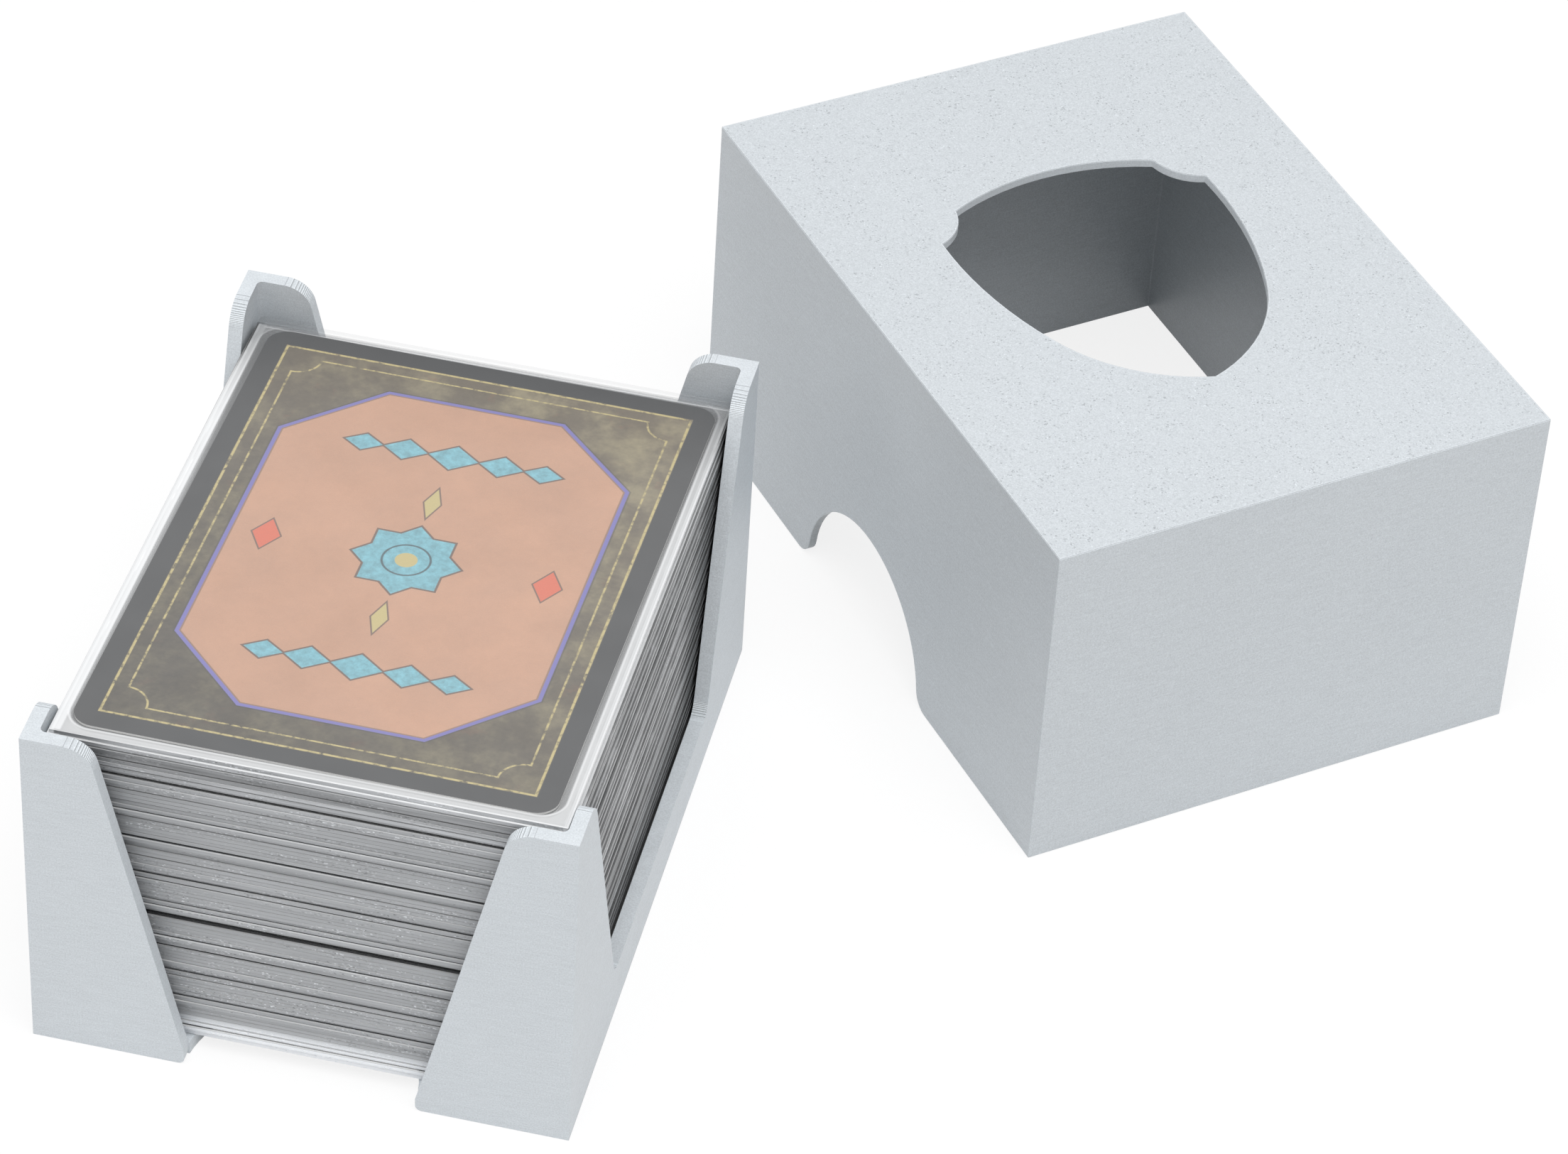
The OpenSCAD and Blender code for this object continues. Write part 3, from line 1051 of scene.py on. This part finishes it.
class CARDBOX_OT_studio(bpy.types.Operator):
    """Sets the white floor, the soft lamps, the surroundings and the camera"""

    bl_idname = "cardbox.studio"
    bl_label = "Studio"

    def execute(self, context):
        look = context.scene.cardbox_studio
        self.lay_floor(context)
        self.add_lamp(context, "key_lamp", look.key, KEY_PLACE, KEY_SIZE)
        self.add_lamp(context, "fill_lamp", look.fill, FILL_PLACE, FILL_SIZE)
        self.surround(context, look)
        self.place_camera(context, look)
        context.scene.view_settings.view_transform = "Standard"
        return {"FINISHED"}

    def lay_floor(self, context):
        """Floor of pale paper that the camera and reflections see nearly white."""
        mesh = bmesh.new()
        bmesh.ops.create_grid(mesh, x_segments=4, y_segments=4, size=FLOOR_HALF)
        bmesh.ops.translate(mesh, verts=mesh.verts, vec=(0.0, 0.0, -FLOOR_DROP))
        data = bpy.data.meshes.new("studio_floor")
        mesh.to_mesh(data)
        mesh.free()
        floor = bpy.data.objects.new("studio_floor", data)
        context.scene.collection.objects.link(floor)
        material, tree = new_material("studio_paper")
        path = shade(tree, "ShaderNodeLightPath")
        seen = Flow(tree, path.outputs["Is Camera Ray"]) * FLOOR_SHARE
        mirrored = Flow(tree, path.outputs["Is Glossy Ray"]).most(
            Flow(tree, path.outputs["Is Transmission Ray"]))
        paper = shade(tree, "ShaderNodeBsdfDiffuse", Color=PAPER)
        white = shade(tree, "ShaderNodeEmission", Color=WHITE, Strength=FLOOR_WHITE)
        both = shade(tree, "ShaderNodeMixShader")
        feed(tree, both.inputs[0], seen.most(mirrored))
        feed(tree, both.inputs[1], paper.outputs[0])
        feed(tree, both.inputs[2], white.outputs[0])
        shade(tree, "ShaderNodeOutputMaterial", Surface=both.outputs[0])
        material.cycles.emission_sampling = "NONE"
        data.materials.append(material)

    def add_lamp(self, context, name, power, place, size):
        """Square soft lamp that looks at the part."""
        lamp = bpy.data.lights.new(name, "AREA")
        lamp.energy = power
        lamp.size = size
        holder = bpy.data.objects.new(name, lamp)
        context.scene.collection.objects.link(holder)
        holder.location = place
        aim = LAMP_AIM - Vector(place)
        holder.rotation_euler = aim.to_track_quat("-Z", "Y").to_euler()

    def surround(self, context, look):
        """Surroundings that light the part softly and are seen as plain white."""
        world = bpy.data.worlds.new("studio_sky")
        world.use_nodes = True
        tree = world.node_tree
        tree.nodes.clear()
        path = shade(tree, "ShaderNodeLightPath")
        seen = Flow(tree, path.outputs["Is Camera Ray"]).most(
            Flow(tree, path.outputs["Is Transmission Ray"]))
        strength = seen * (1.0 - look.sky) + look.sky
        sky = shade(tree, "ShaderNodeBackground", Color=WHITE, Strength=strength)
        shade(tree, "ShaderNodeOutputWorld", Surface=sky.outputs[0])
        context.scene.world = world

    def place_camera(self, context, look):
        """Camera at the photograph's viewing angle."""
        lens = bpy.data.cameras.new("photo_camera")
        lens.lens = look.lens
        lens.sensor_width = SENSOR_WIDTH
        lens.sensor_fit = "HORIZONTAL"
        lens.clip_start = CLIP_START
        holder = bpy.data.objects.new("photo_camera", lens)
        context.scene.collection.objects.link(holder)
        turn = (Matrix.Rotation(look.azimuth, 4, "Z")
                @ Matrix.Rotation(math.pi / 2 - look.elevation, 4, "X")
                @ Matrix.Rotation(look.roll, 4, "Z"))
        away = turn @ Vector((0.0, 0.0, look.distance))
        holder.matrix_world = Matrix.Translation(Vector(look.target) + away) @ turn
        context.scene.camera = holder


# Panel and registration

PIECES = (
    CARDBOX_OT_tray, CARDBOX_OT_cover, CARDBOX_OT_sleeves,
    CARDBOX_OT_cards, CARDBOX_OT_top_card, CARDBOX_OT_studio,
)
SETTINGS = {
    "cardbox_print": PrintSettings,
    "cardbox_deck": DeckSettings,
    "cardbox_studio": StudioSettings,
}


class CARDBOX_PT_panel(bpy.types.Panel):
    """Lists the pieces and their settings"""

    bl_idname = "CARDBOX_PT_panel"
    bl_label = "Card Box"
    bl_space_type = "VIEW_3D"
    bl_region_type = "UI"
    bl_category = "Card Box"

    def draw(self, context):
        for piece in PIECES:
            self.layout.operator(piece.bl_idname)
        for group in SETTINGS:
            settings = getattr(context.scene, group)
            box = self.layout.box()
            for key in settings.bl_rna.properties.keys():
                if key not in {"rna_type", "name"}:
                    box.prop(settings, key)


CLASSES = (*SETTINGS.values(), *PIECES, CARDBOX_PT_panel)


def register():
    for kind in CLASSES:
        bpy.utils.register_class(kind)
    for group, kind in SETTINGS.items():
        setattr(bpy.types.Scene, group, bpy.props.PointerProperty(type=kind))


def unregister():
    for group in SETTINGS:
        delattr(bpy.types.Scene, group)
    for kind in reversed(CLASSES):
        bpy.utils.unregister_class(kind)


def main():
    """Clears what isn't the part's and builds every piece."""
    own = {*frame["nodes"].values(), *frame["bodies"].values()}
    for thing in list(bpy.data.objects):
        if thing not in own:
            bpy.data.objects.remove(thing)
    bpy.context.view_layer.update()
    register()
    bpy.ops.cardbox.tray()
    bpy.ops.cardbox.cover()
    bpy.ops.cardbox.sleeves()
    bpy.ops.cardbox.cards()
    bpy.ops.cardbox.top_card()
    bpy.ops.cardbox.studio()


if __name__ == "__main__":
    main()
